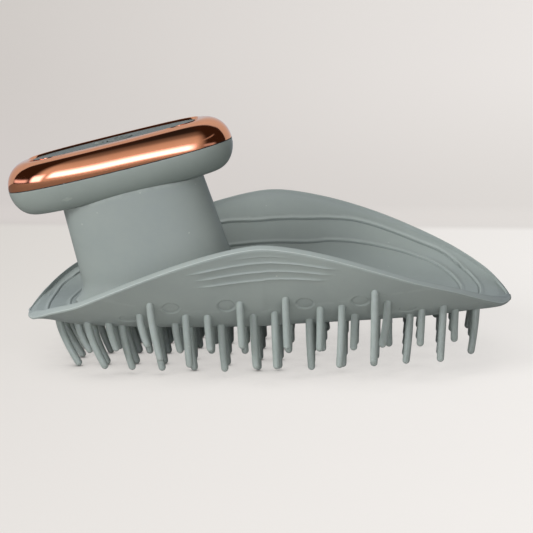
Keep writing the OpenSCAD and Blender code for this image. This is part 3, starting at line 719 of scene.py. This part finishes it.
def build_pad():
    xs, belly = pad_stations(), belly_shares()
    bowl_s = bowl_shares(xs)
    cap_y, cap_z = rim_profile()
    X = xs[:, None]
    w, r, top, across, opened = leaf(X), rim_radius(X), side_top(X), land_half(X), open_share(X)
    outer = grid_points(X, w * belly, belly_z(X, w * belly))
    rise = np.where(cap_y < -0.9, mix(CLOSED_RISE, cap_z, opened), cap_z)
    # the closed tips are rounded off instead of keeping a land
    closed = np.maximum(1 - opened, ease(np.abs(X), 60, 4.5))
    quarter = np.linspace(0, math.pi / 2, len(cap_y))
    beside = mix(cap_y, 2 * np.cos(quarter) - 1, closed)
    rise = mix(rise, CLOSED_RISE * np.sin(quarter), closed)
    cap = grid_points(X, w - across + across * beside, top + r * rise)
    bowl = grid_points(X, (w - 2 * across) * bowl_s, bowl_z(X, bowl_s))
    base = np.concatenate([outer, cap, bowl, (cap * [1, -1, 1])[:, ::-1]], 1)
    normals = grid_normals(base)
    if normals[len(xs) // 2, len(belly) // 2, 2] > 0:
        normals = -normals
    lift = np.zeros(base.shape[:2])
    walls = slice(0, len(belly))
    first = len(belly) + len(cap_y)
    inside = slice(first, first + bowl_s.shape[1])

    # round marks: shallow sunk discs with a crisp lip
    for place, level in MARKS:
        for side in (-1, 1):
            y = leaf(place) * level
            centre = np.array([place, side * y, belly_z(np.float64(place), y)])
            away = np.linalg.norm(base[:, walls] - centre, axis=-1) - MARK_RADIUS
            lift[:, walls] -= 0.32 * (1 - ease(away, -0.09, 0.18))
            lift[:, walls] += 0.08 * hump(away, 0.22, 0.20) + 0.12 * (1 - ease(away, -1.1, 0.9))

    # raised lines near the top of each outer wall, soft above and sharp below
    step = np.linalg.norm(np.gradient(outer, axis=1), axis=-1)
    step /= np.maximum(np.gradient(belly), 1e-6)
    for level, left, right, height in LINES:
        d = (np.abs(belly) - level - LINE_SAG * (X / 18) ** 2) * step
        fade = ease(X, left, LINE_FADE) * ease(right - X, 0, LINE_FADE)
        lip = np.where(d > 0, np.maximum(0, 1 - d / 0.95) ** 2.8, hump(d, 0, 0.09))
        lift[:, walls] += height * fade * lip

    # two beads inside the bowl
    n = normals[:, inside]
    upright = np.maximum(np.abs(n[..., 2:]), 0.08) * np.where(n[..., 2:] < 0, -1, 1)
    slopes = (-n[..., :2] / upright).reshape(-1, 2)
    plan = base[:, inside, :2].reshape(-1, 2)
    wide = opened * (1 - 0.4 * ease(-X, 30, 15))
    # a painted highlight along each bead's crest line
    crests = 0
    for line, bead_in, height, highlight_in, pale in BEADS:
        d = distance_to(line, plan, slopes).reshape(bowl_s.shape)
        lift[:, inside] += wide * bead_shape(d + bead_in, height)
        crests = crests + wide * pale * hump(d, -highlight_in, CREST_WIDTH)

    points = base + normals * lift[..., None]
    points[..., 0] -= np.sign(points[..., 0]) * 0.5 * ease(np.abs(points[..., 0]), 58, 7)
    rings = [from_pad(p) for p in points]
    # the two tips close in a small dome
    for end, sign in ((points[0], -1), (points[-1], 1)):
        dome = []
        for a in np.radians((30, 55, 75)):
            ring = mix(end.mean(0), end, math.cos(a))
            ring[:, 0] = end[:, 0] + sign * 0.3 * math.sin(a)
            dome.append(from_pad(ring))
        rings = rings + dome if sign > 0 else dome[::-1] + rings
    pad = make_piece("silicone_pad", capped_solid(rings), "brush_pad", SAGE_SILICONE)

    # painted highlight: the rims' corners and the beads' crest lines are painted paler
    rub_highlight_share = np.zeros(base.shape[:2])
    n_outer = len(belly)
    for near, far, pale in ((5, 9, 0.45), (2, 5, 1)):
        rub_highlight_share[:, n_outer + near:n_outer + far] = pale
        rub_highlight_share[:, -far:-near] = pale
    rub_highlight_share[:, inside] = crests
    marks = np.zeros(len(pad.data.vertices))
    before = len(dome) * rub_highlight_share.shape[1]
    marks[before:before + rub_highlight_share.size] = rub_highlight_share.ravel()
    pad.data.attributes.new("rim_highlight", "FLOAT", "POINT").data.foreach_set("value", marks)


build_pad()

# ------------------------ bristles

BRISTLE_STEPS, BRISTLE_SIDES = 14, 18
SWAY = 0.28


def end_z(x, y):
    """How far the bristles' ends rise from the table's plane towards the pad's sides and tips."""
    rise = 0.0115 * (1 - 0.5 * x / HALF_LENGTH) * max(0, abs(y) - 14) ** 2
    return rise + (0.04 if x < 0 else 0.05) * max(0, abs(x) - 15)


def lean(x):
    return 0.05 - 0.0025 * x + 0.4 * (max(0, -x - 20) / (HALF_LENGTH - 20)) ** 1.5


def rod(path, radii):
    """A round rod along a path that stays across the y axis, with a dome at each end."""
    along = np.gradient(path, axis=0)
    along /= np.linalg.norm(along, axis=1)[:, None]
    dome = np.radians((78, 58, 38, 18))
    stops = [(path[0] - along[0] * radii[0] * math.sin(a), along[0], radii[0] * math.cos(a))
             for a in dome]
    stops += zip(path, along, radii)
    stops += [(path[-1] + along[-1] * radii[-1] * math.sin(a), along[-1],
               radii[-1] * math.cos(a)) for a in dome[::-1]]
    side = np.array([0.0, 1.0, 0.0])
    turn = circle_angles(BRISTLE_SIDES)[:, None]
    rings = []
    for centre, way, radius in stops:
        across = side - way * np.dot(side, way)
        across /= np.linalg.norm(across)
        ring = np.cos(turn) * across + np.sin(turn) * np.cross(way, across)
        rings.append(centre + radius * ring)
    return capped_solid(rings)


def build_bristles(name, node, start, spreads, side, shorter, random):
    rods = []
    half = BRISTLE_RADIUS / 2
    t = np.linspace(0, 1, BRISTLE_STEPS)
    radii = mix(1.02, 0.96, t) * BRISTLE_RADIUS
    for k, spread in enumerate(spreads):
        x = side * (start + k * BRISTLE_PITCH)
        if leaf(x) <= spread + BRISTLE_RADIUS:
            continue
        in_row = max(2, math.ceil(2 * spread / BRISTLE_GAP) + 1)
        for y in np.linspace(-spread, spread, in_row):
            steep = float(belly_z(x, abs(y) + half) - belly_z(x, abs(y) - half)) / BRISTLE_RADIUS
            root = from_pad([x, y, float(belly_z(x, y)) + 0.5 * math.hypot(1, steep)])
            free = from_pad([x, y, end_z(x, y) + shorter])
            low = max(0, free[2]) + BRISTLE_RADIUS
            reach = lean(x) * (root[2] - low)
            sway = random.normal(0, SWAY, 2)
            path = np.stack([root[0] + reach * t ** 1.45 + sway[0] * t ** 2,
                             root[1] + sway[1] * t ** 2, mix(root[2], low, t)], -1)
            path[-1, 2] = low - (BRISTLE_RADIUS - radii[-1])
            rods.append(rod(path, radii))
    make_piece(name, joined(rods), node, BRISTLE_SILICONE)


steady = np.random.default_rng(7)
for kind, first_row, row_spreads, less in (("long", LONG_START, LONG_SPREAD, 0),
                                           ("short", SHORT_START, SHORT_SPREAD, SHORT_BY)):
    for half_name, direction in (("left", -1), ("right", 1)):
        build_bristles(f"{kind}_bristles_{half_name}", f"bristles_{kind}_{half_name}", first_row,
                       row_spreads, direction, less, steady)

# ------------------------ head

TRIM_WALL, TRIM_SEAT, TRIM_LIP = 1.2, 0.7, 1.1
SHELL_WALL, TONGUE_IN, TONGUE_OUT, TONGUE_HEIGHT = 1.8, 2.25, 1.35, 1.1
BASE_FLAT = 15, 6
SHARP_EDGE = 50
PANEL_ROUND, PANEL_CROWN, HOLE_ROUND = 0.25, 0.20, 0.3
BUTTON_GAP = 0.12
BUTTON_SIDES = 120
CAP_ABOVE, SKIRT_RADIUS, SKIRT_HEIGHT = 0.42, 4.4, 0.6
DISH_RADIUS, DISH_DEPTH = 3.05, 0.32
# Light window beside the button: its rings' radii and heights over the panel's top
LENS_PLACE = BUTTON_PLACE - 5.75
LENS = [(1.2, -0.5), (1.2, 0.30), (1.08, 0.50), (0.8, 0.60), (0.3, 0.64)]


def head_ring(a, half, side, low_z, high_z, inset=0.0):
    """Ring of the trim or the shell: a is 0 at the parting line and 90 at the crest or base."""
    c, s = math.cos(math.radians(a)), math.sin(math.radians(a))
    return oval(mix(half, HEAD_HALF, c) - inset, mix(side, HEAD_SIDE, c) - inset,
                HEAD_SQUARENESS, mix(low_z, high_z, s))


def trim_ring(a, inset=0.0):
    return head_ring(a, CREST_HALF, CREST_SIDE, PARTING, TRIM_HEIGHT - inset, inset)


def shell_ring(a, inset=0.0):
    return head_ring(a, BASE_HALF, BASE_SIDE, 0, inset - SHELL_HEIGHT, inset)


def panel_oval(grow, z):
    return oval(PANEL_HALF + grow, PANEL_SIDE + grow, PANEL_SQUARENESS, z)


def build_trim():
    rings = [trim_ring(a) for a in np.linspace(0, 90, 41)]
    # the inner lip is a wide bevel down to the panel, with its two corners eased
    rings += [panel_oval(FIT + out, TRIM_HEIGHT - down) for out, down in (
        (0.62, -0.16), (0.56, -0.145), (0.50, -0.10), (0.06, 0.46), (0.015, 0.53), (0.0, 0.62))]
    base = PANEL_TOP - PANEL_THICKNESS - 0.05
    seat = base - TRIM_SEAT
    rings += [panel_oval(*at) for at in ((FIT, base + 0.4), (FIT, base), (-TRIM_LIP, base),
                                         (-TRIM_LIP, seat))]
    for a in np.linspace(67.5, 0, 9):
        ring = trim_ring(a, TRIM_WALL)
        ring[:, 2] = np.minimum(ring[:, 2], seat)
        rings.append(ring)
    make_piece("copper_band", ring_solid(from_head(rings)), "copper_trim",
               COPPER_PLATE, sharp=SHARP_EDGE)


def build_shell():
    rings = [oval(*BASE_FLAT, HEAD_SQUARENESS, -SHELL_HEIGHT)]
    rings += [shell_ring(a) for a in np.linspace(90, 0, 41)]
    rings += [oval(HEAD_HALF - set_in, HEAD_SIDE - set_in, HEAD_SQUARENESS, z)
              for set_in, z in ((TONGUE_OUT, 0), (TONGUE_OUT, TONGUE_HEIGHT),
                                (TONGUE_IN, TONGUE_HEIGHT), (TONGUE_IN, 0))]
    rings += [shell_ring(a, SHELL_WALL) for a in np.linspace(0, 90, 13)[1:]]
    rings.append(oval(*BASE_FLAT, HEAD_SQUARENESS, SHELL_WALL - SHELL_HEIGHT))
    make_piece("grip_shell", ring_solid(from_head(rings)), "head_shell",
               SHELL_PLASTIC, sharp=SHARP_EDGE)


def build_panel():
    """Top panel with the button's hole, crowned in between, and a small domed light window."""
    def between(t, z, grow=0.0, widen=0.0):
        outer = panel_oval(grow, z)
        # the hole's points face the outline's points, so that the rings never cross
        angle = np.arctan2(outer[:, 1] / PANEL_SIDE, (outer[:, 0] - BUTTON_PLACE) / PANEL_HALF)
        hole = BUTTON_RADIUS + BUTTON_GAP + widen
        inner = np.stack([BUTTON_PLACE + hole * np.cos(angle), hole * np.sin(angle),
                          outer[:, 2]], -1)
        return mix(outer, inner, t)

    low, edge = PANEL_TOP - PANEL_THICKNESS, PANEL_TOP - PANEL_ROUND
    rings = [between(0, low), between(0, edge)]
    rings += [between(0, edge + PANEL_ROUND * math.sin(a), -PANEL_ROUND * (1 - math.cos(a)))
              for a in np.radians((30, 60, 90))]
    rings += [between(t, PANEL_TOP + PANEL_CROWN * math.sin(math.pi * min(1, t * 1.2) / 2),
                      -PANEL_ROUND, HOLE_ROUND) for t in np.linspace(0, 1, 14)[1:-1]]
    rings += [between(1, PANEL_TOP + PANEL_CROWN * math.sin(a), 0, HOLE_ROUND * (1 - math.cos(a)))
              for a in np.radians((90, 50, 10))]
    rings += [between(1, low), between(0.5, low)]
    lens = [oval(radius, radius, 2.4, PANEL_TOP + z, 64) + [LENS_PLACE, 0, 0]
            for radius, z in LENS]
    solid = joined([ring_solid(from_head(rings)), capped_solid(from_head(lens))])
    make_piece("grip_panel", solid, "top_panel", PANEL_PLASTIC, sharp=SHARP_EDGE)


def build_button():
    """Push button: skirt, shallow dish on top, and a raised ring with a gap and a bar in it."""
    top = PANEL_TOP + CAP_ABOVE
    low = PANEL_TOP - PANEL_THICKNESS - 0.35 - SKIRT_HEIGHT
    cap = BUTTON_RADIUS - BUTTON_GAP
    profile = [(SKIRT_RADIUS, low), (SKIRT_RADIUS, low + SKIRT_HEIGHT), (cap, low + SKIRT_HEIGHT),
               (cap, top - 0.75), (cap - 0.16, top - 0.25)]
    profile += [(cap - 0.41 + 0.25 * math.cos(a), top - 0.25 + 0.25 * math.sin(a))
                for a in np.radians((25, 50, 75, 90))]
    profile += [(r, top - DISH_DEPTH * (1 - (r / DISH_RADIUS) ** 2))
                for r in np.linspace(3.0, 0.1, 26)]
    t = circle_angles(BUTTON_SIDES)
    rings = []
    for r, z in profile:
        ring = grid_points(BUTTON_PLACE + r * np.cos(t), r * np.sin(t), z)
        if r < DISH_RADIUS:
            x, y = ring[:, 0] - BUTTON_PLACE, ring[:, 1]
            gap = np.abs(np.degrees(np.arctan2(y, x)) - 90) < 24
            arc = np.where(gap, 0, hump(r, 1.75, 0.26, 4))
            bar = hump(x, 0, 0.24, 4) * hump(y, 1.5, 0.85, 8)
            ring[:, 2] += 0.26 * np.maximum(arc, bar)
        rings.append(ring)
    make_piece("push_button", capped_solid(from_head(rings)), "button_cap",
               BUTTON_PLASTIC, body="button", sharp=60)


build_trim()
build_shell()
build_panel()
build_button()

# ------------------------ neck sleeve

NECK_SIDES = 180
NECK_FOOT = from_pad([FOOT_PLACE, 0, PLATE_HEIGHT])
NECK_TOP = from_head([THROAT_PLACE, 0, -SHELL_HEIGHT])
NECK_HEIGHT = float(NECK_TOP[2] - NECK_FOOT[2])
NECK_GAP = 0.1
PORT_CENTRE = mix(NECK_FOOT, NECK_TOP, 0.65)
PORT_RADIUS, PORT_SIDES = 6.65, 96


def depth_at(x, y):
    """Share of the lower shell's height at a point of its plan, from the parting line down."""
    low, high = np.zeros(len(x)), np.ones(len(x))
    for _ in range(26):
        k = (low + high) / 2
        b = np.sqrt(np.maximum(0, 1 - k * k))
        reach = ((np.abs(x) / mix(BASE_HALF, HEAD_HALF, b)) ** HEAD_SQUARENESS
                 + (np.abs(y) / mix(BASE_SIDE, HEAD_SIDE, b)) ** HEAD_SQUARENESS)
        low, high = np.where(reach <= 1, k, low), np.where(reach <= 1, high, k)
    return low


def flare(t):
    return FLARE * max(0, 1 - t * NECK_HEIGHT / FLARE_HEIGHT) ** 2.4


def neck_ring(t, inset):
    """Ring of the neck: t is 0 at the pad's floor and 1 under the head."""
    low = oval(FOOT_HALF - inset, FOOT_SIDE - inset, NECK_SQUARENESS, PLATE_HEIGHT + NECK_GAP,
               NECK_SIDES)
    low[:, 0] += FOOT_PLACE
    high = oval(THROAT_HALF - inset, THROAT_SIDE - inset, NECK_SQUARENESS, 0, NECK_SIDES)
    high[:, 0] += THROAT_PLACE
    high[:, 2] = -SHELL_HEIGHT * depth_at(high[:, 0], high[:, 1]) - NECK_GAP
    return mix(from_pad(low), from_head(high), t)


def build_sleeve():
    ts = np.concatenate([np.linspace(0, 0.32, 22), np.linspace(0.32, 1, 26)[1:]])
    rings = [neck_ring(t, -flare(t)) for t in ts] + [neck_ring(t, SLEEVE) for t in ts[::-1]]
    sleeve = make_piece("neck_sleeve_skin", ring_solid(rings), "neck_sleeve",
                        SLEEVE_SILICONE)
    # round hole on the far side for the charging socket
    turn = circle_angles(PORT_SIDES)
    hole = [grid_points(PORT_CENTRE[0] + PORT_RADIUS * np.cos(turn), y,
                        PORT_CENTRE[2] + PORT_RADIUS * np.sin(turn)) for y in (5.0, 12.0, 16.0)]
    tool = new_object("port_hole_tool", new_mesh("port_hole_tool", *capped_solid(hole)))
    cut = sleeve.modifiers.new("port_hole", "BOOLEAN")
    cut.operation = "DIFFERENCE"
    cut.solver = "EXACT"
    cut.object = tool
    bpy.context.view_layer.update()
    cut_sleeve = sleeve.evaluated_get(bpy.context.evaluated_depsgraph_get())
    result = bpy.data.meshes.new_from_object(cut_sleeve)
    sleeve.modifiers.clear()
    sleeve.data = result
    set_smooth(result, 45)
    bpy.data.objects.remove(tool, do_unlink=True)


build_sleeve()

# ------------------------ stage

# The sweep of paper, in metres: where its wall stands, the radius of its bend and its reach
BACK_WALL, BEND = 0.184, 0.006
SWEEP_HALF, SWEEP_FRONT, SWEEP_TOP = 1.3, -0.9, 0.95
# How bright the camera sees floor and wall, and how pale the paper is under the lamps
FLOOR_GLOW, WALL_GLOW, PAPER_SHADE, WHITE_PAPER = 0.775, 0.745, 0.24, 0.95
# Between these distances from the part its own shade and bounced light end, in metres
NEAR_PART, FAR_FROM_PART = 0.08, 0.17
CONTACT_REACH, CONTACT_LEAST = 0.009, 0.20
# MIRRORED_PAPER is a painted reflection colour: the bluish tone in which metal mirrors the paper
MIRRORED_PAPER, BLACK = (0.60, 0.72, 0.82), (0, 0, 0)


def paper_tone_with_painted_light(tree, place):
    """Pale studio paper with its light painted in: lighter to the right, the floor lighter than the
    wall, and the wall's lower strip toned apart from its upper part.
    """
    x, y, z = add_node(tree, "SeparateXYZ", Vector=place).outputs
    # painted light falloff: the paper is painted darker on the left and lighter on the right
    across = ramp(x, -0.10, 0.11, smooth=False)
    left_floor = blend(ramp(y, -0.10, 0.12), srgb(227, 223, 219), srgb(223, 219, 214))
    floor_tone = blend(across, left_floor, srgb(252, 249, 246))
    low_wall = blend(across, srgb(215, 209, 206), srgb(231, 227, 223))
    high_wall = blend(across, srgb(209, 204, 200), srgb(244, 240, 237))
    wall_tone = blend(ramp(z, 0.005, 0.055), low_wall, high_wall)
    up = math_node("MAXIMUM", ramp(z, 0.0, 0.0028), ramp(y, 0.175, 0.189))
    blotches = times(place_group(tree, MOTTLE, Size=3.0)["Tone"], 0.10)
    tone = blend(up, floor_tone, wall_tone)
    return blend(blotches, tone, srgb(228, 224, 221)), up


def build_paper():
    material, tree, shader = new_material("studio_paper")
    place = add_node(tree, "TexCoord").outputs["Object"]
    tone, up = paper_tone_with_painted_light(tree, place)
    ray = add_node(tree, "LightPath").outputs
    length = add_node(tree, "VectorMath", Vector=place)
    length.operation = "LENGTH"
    far = ramp(length.outputs["Value"], NEAR_PART, FAR_FROM_PART)
    close = flipped(far)
    # light that the part gets back from the floor is that of full white paper
    bounce = times(close, ray["Is Diffuse Ray"])
    shade = scaled(bounce, WHITE_PAPER - PAPER_SHADE, PAPER_SHADE)
    fill(shader, Base_Color=blend(shade, BLACK, tone), Roughness=0.6, Specular_IOR_Level=0.0)
    fine = place_group(tree, GRAIN, Grain=900.0, Ripple=60.0)
    set_bump(shader, fine["Height"], 0.04, 0.0001)
    # the camera sees the paper at its own pale tone; metal that mirrors the room sees it in a
    # painted bluish reflection colour, the floor only faintly
    mirrored = math_node("MAXIMUM", ray["Is Glossy Ray"], ray["Is Transmission Ray"])
    mirrored = times(mirrored, scaled(up, 0.85, 0.15))
    seen = math_node("MAXIMUM", ray["Is Camera Ray"], mirrored)
    level = scaled(up, WALL_GLOW - FLOOR_GLOW, FLOOR_GLOW)
    # a tight soft shade right where the bristles stand
    contact = add_node(tree, "AmbientOcclusion", Distance=CONTACT_REACH)
    contact.samples = 8
    open_air = ramp(contact.outputs["AO"], 0.34, 1.0)
    open_air = math_node("MAXIMUM", open_air, far)
    open_air = scaled(open_air, 1 - CONTACT_LEAST, CONTACT_LEAST)
    glow = add_node(tree, "Emission", Strength=times(seen, times(level, open_air)),
                    Color=blend(ray["Is Glossy Ray"], tone, MIRRORED_PAPER))
    lit = add_node(tree, "AddShader")
    # the wall and the floor have one side only: they never hide the part from behind or below
    clear = add_node(tree, "BsdfTransparent")
    sided = add_node(tree, "MixShader", Fac=add_node(tree, "NewGeometry").outputs["Backfacing"])
    for node, k, source in ((lit, 0, shader), (lit, 1, glow), (sided, 1, lit), (sided, 2, clear)):
        tree.links.new(source.outputs[0], node.inputs[k])
    tree.links.new(sided.outputs[0], tree.nodes["Material Output"].inputs["Surface"])
    return material


def build_stage():
    wall = BACK_WALL + BEND
    profile = [(SWEEP_FRONT, 0.0), (-0.3, 0.0), (0.0, 0.0), (BACK_WALL, 0.0)]
    profile += [(BACK_WALL + BEND * math.sin(a), BEND * (1 - math.cos(a)))
                for a in np.radians(np.arange(10, 91, 10))]
    profile += [(wall, 0.1), (wall, 0.5), (wall, SWEEP_TOP)]
    points = [(x, y, z) for x in (-SWEEP_HALF, SWEEP_HALF) for y, z in profile]
    n = len(profile)
    faces = [(k, n + k, n + k + 1, k + 1) for k in range(n - 1)]
    mesh = new_mesh("studio_sweep", points, faces, unit=1)
    set_smooth(mesh)
    mesh.materials.append(build_paper())
    new_object("studio_sweep", mesh)


build_stage()

# ------------------------ camera and lamps


def aim(thing, target, turn, lift, away):
    """A camera or lamp looks at its target from turn degrees right of the front, and lift up."""
    turn, lift = math.radians(turn), math.radians(lift)
    thing.location = target + away * Vector((math.sin(turn) * math.cos(lift),
                                             -math.cos(turn) * math.cos(lift), math.sin(lift)))
    thing.rotation_euler = (target - thing.location).to_track_quat("-Z", "Y").to_euler()


camera = new_object("studio_camera", bpy.data.cameras.new("studio_camera"))
camera.data.lens = 201.8
camera.data.sensor_width = 36.0
camera.data.clip_end = 10.0
aim(camera, Vector((0.0016, 0.0, 0.0241)), 2.25, 11.7, 0.8)
bpy.context.scene.camera = camera

# Soft boxes: turn, lift and distance, width and height in metres, brightness and colour
LAMPS = {
    "key_box": (-48, 32, 1.2, 0.55, 0.42, 13.0, (1.0, 0.995, 0.985)),
    "front_fill": (4, 11, 1.4, 0.8, 0.45, 6.0, (1.0, 0.995, 0.985)),
    "overhead_box": (-20, 76, 1.1, 0.8, 0.6, 1.8, (1.0, 0.99, 0.98)),
}
for lamp_name, (around, above, distance, width, height, brightness, colour) in LAMPS.items():
    lamp = new_object(lamp_name, bpy.data.lights.new(lamp_name, "AREA"))
    lamp.data.shape = "RECTANGLE"
    lamp.data.size, lamp.data.size_y = width, height
    lamp.data.energy = brightness * width * height * math.pi
    lamp.data.color = colour
    aim(lamp, Vector((-0.01, 0.0, 0.035)), around, above, distance)
    # the room itself is what metal mirrors
    lamp.visible_glossy = False
    lamp.visible_camera = False

# ------------------------ room

# Brightness of the room's front by elevation in degrees, from the floor up
FRONT_STOPS = [(-90, 0.20), (-12, 0.20), (-5, 0.40), (1, 0.66), (19, 0.78), (35, 0.57),
               (43, 0.24), (53, 0.13), (60, 0.03), (89, 0.02)]
DARK_SIDE = (0.035, 0.022, 0.015)
BEHIND = (0.62, 0.72, 0.84)


def build_room():
    """Room light by direction: a wide low window in front, smaller ones on the left."""
    world = bpy.data.worlds.new("studio_room")
    bpy.context.scene.world = world
    world.use_nodes = True
    tree = world.node_tree
    way = add_node(tree, "TexCoord").outputs["Generated"]
    right, back, up = add_node(tree, "SeparateXYZ", Vector=way).outputs
    turn = math_node("ARCTAN2", right, times(back, -1.0))
    turn, lift = (times(angle, 180 / math.pi) for angle in (turn, math_node("ARCSINE", up)))

    def band(value, low, low_soft, high, high_soft):
        rise = ramp(value, low - low_soft, low + low_soft)
        fall = ramp(value, high - high_soft, high + high_soft)
        return times(rise, flipped(fall))

    # the colour ramp's places run from 0 to 1 as the sine of the elevation runs from -1 to 1
    front = add_node(tree, "ValToRGB", Fac=scaled(up, 0.5, 0.5))
    while len(front.color_ramp.elements) < len(FRONT_STOPS):
        front.color_ramp.elements.new(0.5)
    for element, (angle, value) in zip(front.color_ramp.elements, FRONT_STOPS):
        element.position = 0.5 + 0.5 * math.sin(math.radians(angle))
        element.color = (value, value * 0.99, value * 0.98, 1)
    side = flipped(band(turn, -50, 6, 36, 9))
    mirrored = blend(side, front.outputs["Color"], DARK_SIDE)

    # the window sits a little higher towards its right end, and the streak runs aslant
    window_lift = scaled(turn, 0.05, lift)
    streak_lift = scaled(turn, -0.45, lift)
    for height, tall, wide, glow in (
            (window_lift, (3.5, 3.0, 14.5, 6.0), (-37, 2.5, 26, 6), (4.4, 4.0, 5.6)),
            # its left pane, behind a post
            (lift, (0, 3, 14, 5), (-54, 3, -42, 2), (3.4, 3.1, 4.2)),
            # a lamp far left, a glint on the right and the streak beside it
            (lift, (0, 2, 7, 3), (-96, 8, -60, 4), (1.25, 1.2, 1.5)),
            (lift, (4, 2, 9, 2), (38, 3, 58, 6), (0.6, 0.6, 0.7)),
            (streak_lift, (3, 1.2, 6, 1.2), (34, 3, 62, 6), (0.42, 0.40, 0.40))):
        patch = times(band(height, *tall), band(turn, *wide))
        mirrored = blend(patch, mirrored, glow)
    # the wall behind reaches further forward overhead
    behind = scaled(ramp(lift, 35, 60), 0.12, back)
    mirrored = blend(ramp(behind, 0.14, 0.28), mirrored, BEHIND)

    soft = blend(ramp(right, -0.9, 0.7), (0.56, 0.556, 0.55), (0.09, 0.09, 0.09))
    soft = blend(ramp(up, 0.0, 0.9), soft, (0.13, 0.129, 0.127))
    pale = blend(ramp(up, -0.2, 0.5), srgb(232, 228, 224), srgb(214, 209, 206))
    ray = add_node(tree, "LightPath").outputs
    glossy = math_node("MAXIMUM", ray["Is Glossy Ray"], ray["Is Transmission Ray"])
    room = blend(glossy, soft, mirrored)
    room = blend(ray["Is Camera Ray"], room, pale)
    put(tree.nodes["Background"].inputs["Color"], room)


build_room()

bpy.context.scene.view_settings.view_transform = "Standard"
